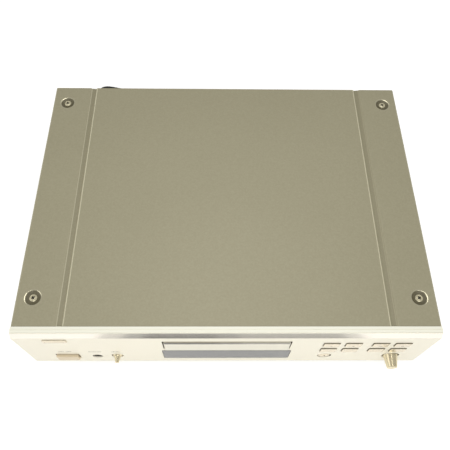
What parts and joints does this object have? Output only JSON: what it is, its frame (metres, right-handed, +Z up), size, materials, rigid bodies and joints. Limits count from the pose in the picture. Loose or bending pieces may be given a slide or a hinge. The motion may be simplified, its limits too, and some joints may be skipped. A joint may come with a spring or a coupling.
{
  "type": "cd player",
  "caption": "Hi-fi compact disc player in a low sheet-metal case: motor-driven disc tray with its drive train and laser sled, display, push buttons, knobs, feet and mains lead.",
  "frame": {"origin": "bottom centre of the player: the plane that the feet stand on, midway across and midway from knob tip to socket tip, without the mains lead", "axes": "+X to the right as seen from the front, +Y to the back, +Z up; the front panel faces -Y"},
  "size_m": [0.434, 0.4273, 0.1098],
  "materials": {
    "olive_paint": "satin olive-gold paint on sheet steel",
    "champagne": "brushed and anodised, pale champagne",
    "pale_metal": "satin anodised, pale champagne",
    "zinc": "bare zinc-plated sheet",
    "black_plastic": "fine-grained black moulding",
    "smoked": "smoked grey, polished",
    "gold": "gold-plated metal in moulded bodies",
    "board_tan": "phenolic board",
    "board_green": "green lacquered board",
    "white_plastic": "natural white moulding",
    "steel": "plain bright steel",
    "black_rubber": "soft black",
    "clear_lens": "coated, faint blue"
  },
  "bodies": {
    "player": {"top_cover": "olive_paint", "front_panel": "champagne", "name_plate": "pale_metal", "cover_screw_front_left": "zinc", "cover_screw_front_right": "zinc", "cover_screw_rear_left": "zinc", "cover_screw_rear_right": "zinc", "chassis_base": "zinc", "front_frame": "zinc", "rear_panel": "zinc", "select_encoder": "zinc", "level_pot": "zinc", "clamp_bridge": "zinc", "foot_front_left": "black_plastic", "foot_front_right": "black_plastic", "foot_rear_left": "black_plastic", "foot_rear_right": "black_plastic", "power_switch": "black_plastic", "loader_frame": "black_plastic", "display_window": "smoked", "display_module": "smoked", "headphone_socket": "gold", "analog_sockets": "gold", "digital_sockets": "gold", "front_board": "board_tan", "main_board": "board_green", "loading_motor": "steel", "power_transformer": "steel", "drive_belt": "black_rubber", "cord_bushing": "black_rubber", "mains_cord": "black_rubber", "cord_coil": "black_rubber", "mains_plug": "black_rubber"},
    "tray": {"disc_tray": "black_plastic", "tray_front": "pale_metal"},
    "tray_gear": {"tray_gear": "white_plastic"},
    "pulley_gear": {"pulley_gear": "white_plastic"},
    "motor_pulley": {"motor_pulley": "white_plastic"},
    "traverse": {"traverse_frame": "black_plastic", "spindle_motor": "steel", "sled_rod_left": "steel", "sled_rod_right": "steel", "sled_motor": "steel"},
    "spindle": {"spindle_platter": "black_plastic"},
    "sled": {"laser_sled": "black_plastic"},
    "lens": {"lens": "clear_lens"},
    "sled_pinion": {"sled_pinion": "white_plastic"},
    "puck": {"clamp_puck": "black_plastic"},
    "button_1": {"button_1": "pale_metal"},
    "button_2": {"button_2": "pale_metal"},
    "button_3": {"button_3": "pale_metal"},
    "button_4": {"button_4": "pale_metal"},
    "button_5": {"button_5": "pale_metal"},
    "button_6": {"button_6": "pale_metal"},
    "button_7": {"button_7": "pale_metal"},
    "button_8": {"button_8": "pale_metal"},
    "round_button": {"round_button": "pale_metal"},
    "power_button": {"power_button": "pale_metal"},
    "select_knob": {"select_knob": "pale_metal"},
    "level_knob": {"level_knob": "pale_metal"}
  },
  "joints": [
    {"name": "tray_slide", "type": "slide", "parent": "player", "child": "tray", "axis": [0, -1, 0], "range_m": [0, 0.137]},
    {"name": "tray_gear_turn", "type": "hinge", "parent": "player", "child": "tray_gear", "pos_m": [0.04082, -0.11604, 0.0656], "axis": [0, 0, 1], "range_deg": [-785, 0]},
    {"name": "pulley_gear_turn", "type": "hinge", "parent": "player", "child": "pulley_gear", "pos_m": [0.01664, -0.11604, 0.0623], "axis": [0, 0, 1], "range_deg": [0, 2356]},
    {"name": "motor_pulley_turn", "type": "hinge", "parent": "player", "child": "motor_pulley", "pos_m": [-0.01536, -0.11604, 0.0623], "axis": [0, 0, 1], "range_deg": [0, 9360]},
    {"name": "traverse_tilt", "type": "hinge", "parent": "player", "child": "traverse", "pos_m": [0, 0.01646, 0.0655], "axis": [1, 0, 0], "range_deg": [0, 6]},
    {"name": "spindle_turn", "type": "hinge", "parent": "traverse", "child": "spindle", "pos_m": [0, -0.08325, 0.07], "axis": [0, 0, 1], "continuous": true},
    {"name": "sled_slide", "type": "slide", "parent": "traverse", "child": "sled", "axis": [0, 1, 0], "range_m": [0, 0.035]},
    {"name": "sled_pinion_turn", "type": "hinge", "parent": "traverse", "child": "sled_pinion", "pos_m": [0.02958, -0.03792, 0.0655], "axis": [0, 0, 1], "range_deg": [-478, 0]},
    {"name": "lens_focus", "type": "slide", "parent": "sled", "child": "lens", "axis": [0, 0, 1], "range_m": [-0.0002, 0.0006], "stiffness_N_per_m": 300},
    {"name": "puck_turn", "type": "hinge", "parent": "player", "child": "puck", "pos_m": [0, -0.08325, 0.084], "axis": [0, 0, 1], "continuous": true},
    {"name": "button_1_push", "type": "slide", "parent": "player", "child": "button_1", "axis": [0, 1, 0], "range_m": [0, 0.0008], "stiffness_N_per_m": 400},
    {"name": "button_2_push", "type": "slide", "parent": "player", "child": "button_2", "axis": [0, 1, 0], "range_m": [0, 0.0008], "stiffness_N_per_m": 400},
    {"name": "button_3_push", "type": "slide", "parent": "player", "child": "button_3", "axis": [0, 1, 0], "range_m": [0, 0.0008], "stiffness_N_per_m": 400},
    {"name": "button_4_push", "type": "slide", "parent": "player", "child": "button_4", "axis": [0, 1, 0], "range_m": [0, 0.0008], "stiffness_N_per_m": 400},
    {"name": "button_5_push", "type": "slide", "parent": "player", "child": "button_5", "axis": [0, 1, 0], "range_m": [0, 0.0008], "stiffness_N_per_m": 400},
    {"name": "button_6_push", "type": "slide", "parent": "player", "child": "button_6", "axis": [0, 1, 0], "range_m": [0, 0.0008], "stiffness_N_per_m": 400},
    {"name": "button_7_push", "type": "slide", "parent": "player", "child": "button_7", "axis": [0, 1, 0], "range_m": [0, 0.0008], "stiffness_N_per_m": 400},
    {"name": "button_8_push", "type": "slide", "parent": "player", "child": "button_8", "axis": [0, 1, 0], "range_m": [0, 0.0008], "stiffness_N_per_m": 400},
    {"name": "round_button_push", "type": "slide", "parent": "player", "child": "round_button", "axis": [0, 1, 0], "range_m": [0, 0.0008], "stiffness_N_per_m": 400},
    {"name": "power_button_push", "type": "slide", "parent": "player", "child": "power_button", "axis": [0, 1, 0], "range_m": [0, 0.003], "stiffness_N_per_m": 400},
    {"name": "select_knob_turn", "type": "hinge", "parent": "player", "child": "select_knob", "pos_m": [0.1837, -0.15975, 0.037], "axis": [0, 1, 0], "continuous": true},
    {"name": "level_knob_turn", "type": "hinge", "parent": "player", "child": "level_knob", "pos_m": [-0.1207, -0.15975, 0.0378], "axis": [0, 1, 0], "range_deg": [-150, 150]}
  ],
  "couplings": [
    {"joint": "tray_gear_turn", "follows": "tray_slide", "rad_per_m": -100},
    {"joint": "pulley_gear_turn", "follows": "tray_slide", "rad_per_m": 300},
    {"joint": "motor_pulley_turn", "follows": "tray_slide", "rad_per_m": 1191.4},
    {"joint": "sled_pinion_turn", "follows": "sled_slide", "rad_per_m": -238.1}
  ]
}
